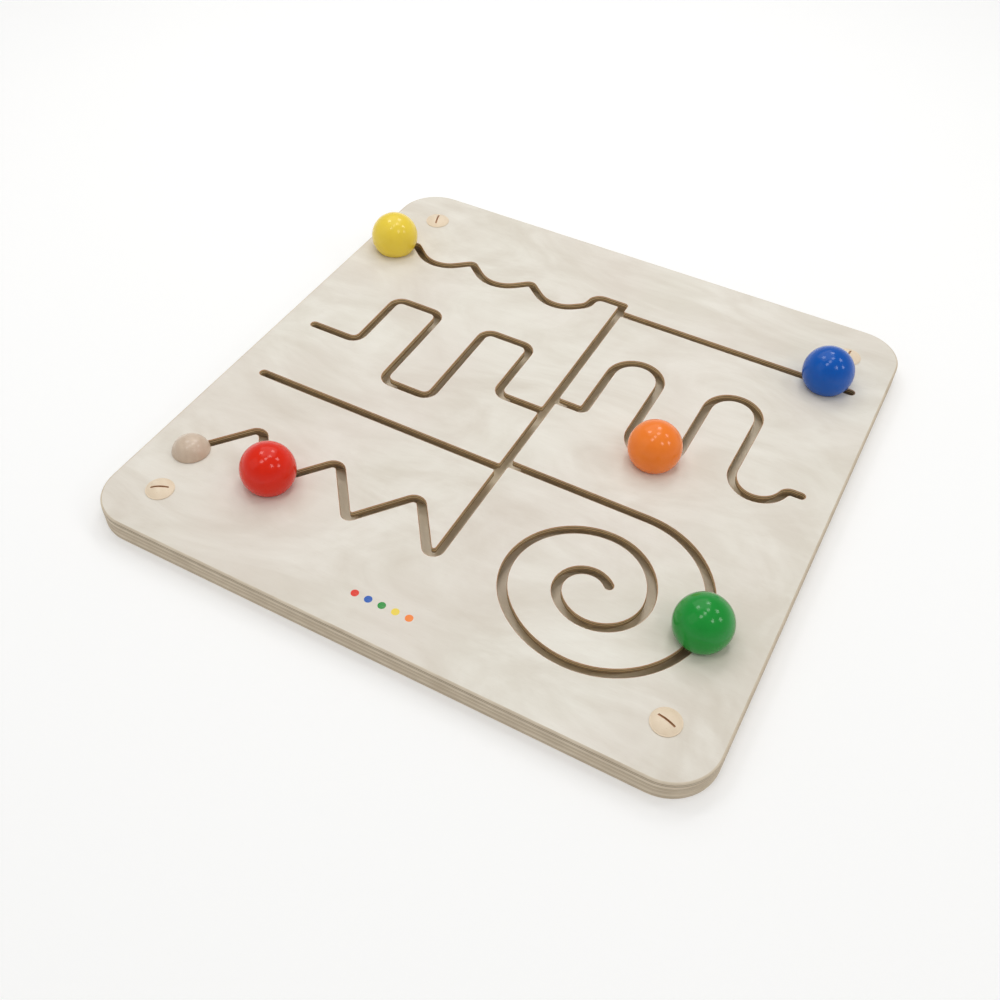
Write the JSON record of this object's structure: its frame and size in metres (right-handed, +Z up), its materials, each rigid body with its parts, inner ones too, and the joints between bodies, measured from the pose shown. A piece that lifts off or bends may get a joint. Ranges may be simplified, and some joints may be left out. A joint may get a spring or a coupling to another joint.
{
  "type": "track maze panel",
  "caption": "Square plywood play panel with joined cut-through grooves in which captive ball knobs slide and turn; domed caps at the corners cover its fixing holes.",
  "frame": {"origin": "centre of the board's underside", "axes": "+X along the near edge to the right, +Y to the far edge, +Z up out of the play face"},
  "size_m": [0.38, 0.38, 0.0419],
  "materials": {
    "birch_ply": "clear matt lacquer over a pale face veneer, ply layers at the edges, brown cut walls",
    "beech": "plain turned wood, clear satin",
    "yellow_lacquer": "glossy lacquer on turned wood",
    "blue_lacquer": "glossy lacquer on turned wood",
    "orange_lacquer": "glossy lacquer on turned wood",
    "green_lacquer": "glossy lacquer on turned wood",
    "red_lacquer": "glossy lacquer on turned wood",
    "nylon": "natural nylon",
    "zinc_steel": "zinc plated"
  },
  "bodies": {
    "board": {"back_plate": "birch_ply", "track_plate": "birch_ply", "top_plate": "birch_ply", "entry_plug": "beech"},
    "cap_back_left": {"cap_back_left": "beech"},
    "cap_back_right": {"cap_back_right": "beech"},
    "cap_front_left": {"cap_front_left": "beech"},
    "cap_front_right": {"cap_front_right": "beech"},
    "yellow_slider": {"yellow_glide": "nylon"},
    "yellow_knob": {"yellow_ball": "yellow_lacquer", "yellow_sleeve": "zinc_steel", "yellow_screw": "zinc_steel"},
    "blue_slider": {"blue_glide": "nylon"},
    "blue_knob": {"blue_ball": "blue_lacquer", "blue_sleeve": "zinc_steel", "blue_screw": "zinc_steel"},
    "orange_slider": {"orange_glide": "nylon"},
    "orange_knob": {"orange_ball": "orange_lacquer", "orange_sleeve": "zinc_steel", "orange_screw": "zinc_steel"},
    "green_slider": {"green_glide": "nylon"},
    "green_knob": {"green_ball": "green_lacquer", "green_sleeve": "zinc_steel", "green_screw": "zinc_steel"},
    "red_slider": {"red_glide": "nylon"},
    "red_knob": {"red_ball": "red_lacquer", "red_sleeve": "zinc_steel", "red_screw": "zinc_steel"}
  },
  "joints": [
    {"name": "cap_back_left_lift", "type": "slide", "parent": "board", "child": "cap_back_left", "axis": [0, 0, 1], "range_m": [0, 0.012]},
    {"name": "cap_back_right_lift", "type": "slide", "parent": "board", "child": "cap_back_right", "axis": [0, 0, 1], "range_m": [0, 0.012]},
    {"name": "cap_front_left_lift", "type": "slide", "parent": "board", "child": "cap_front_left", "axis": [0, 0, 1], "range_m": [0, 0.012]},
    {"name": "cap_front_right_lift", "type": "slide", "parent": "board", "child": "cap_front_right", "axis": [0, 0, 1], "range_m": [0, 0.012]},
    {"name": "yellow_travel", "type": "slide", "parent": "board", "child": "yellow_slider", "axis": [0.7186, 0.6954, 0], "range_m": [-0.0016, 0.013]},
    {"name": "yellow_spin", "type": "hinge", "parent": "yellow_slider", "child": "yellow_knob", "pos_m": [-0.16725, 0.11321, 0.0093], "axis": [0, 0, 1], "continuous": true},
    {"name": "blue_travel", "type": "slide", "parent": "board", "child": "blue_slider", "axis": [1, 0, 0], "range_m": [-0.1462, 0.0174]},
    {"name": "blue_spin", "type": "hinge", "parent": "blue_slider", "child": "blue_knob", "pos_m": [0.1522, 0.1246, 0.0093], "axis": [0, 0, 1], "continuous": true},
    {"name": "orange_travel", "type": "hinge", "parent": "board", "child": "orange_slider", "pos_m": [0.0771, 0.0222, 0.0093], "axis": [0, 0, 1], "range_deg": [-106, 74]},
    {"name": "orange_spin", "type": "hinge", "parent": "orange_slider", "child": "orange_knob", "pos_m": [0.0817, 0.00615, 0.0093], "axis": [0, 0, 1], "continuous": true},
    {"name": "green_travel", "type": "hinge", "parent": "board", "child": "green_slider", "pos_m": [0.0985, -0.0955, 0.0093], "axis": [0, 0, 1], "range_deg": [-84.6, 95.4]},
    {"name": "green_spin", "type": "hinge", "parent": "green_slider", "child": "green_knob", "pos_m": [0.15375, -0.10072, 0.0093], "axis": [0, 0, 1], "continuous": true},
    {"name": "red_travel", "type": "slide", "parent": "board", "child": "red_slider", "axis": [0.6168, 0.7872, 0], "range_m": [0, 0.036]},
    {"name": "red_spin", "type": "hinge", "parent": "red_slider", "child": "red_knob", "pos_m": [-0.10655, -0.12164, 0.0093], "axis": [0, 0, 1], "continuous": true}
  ]
}
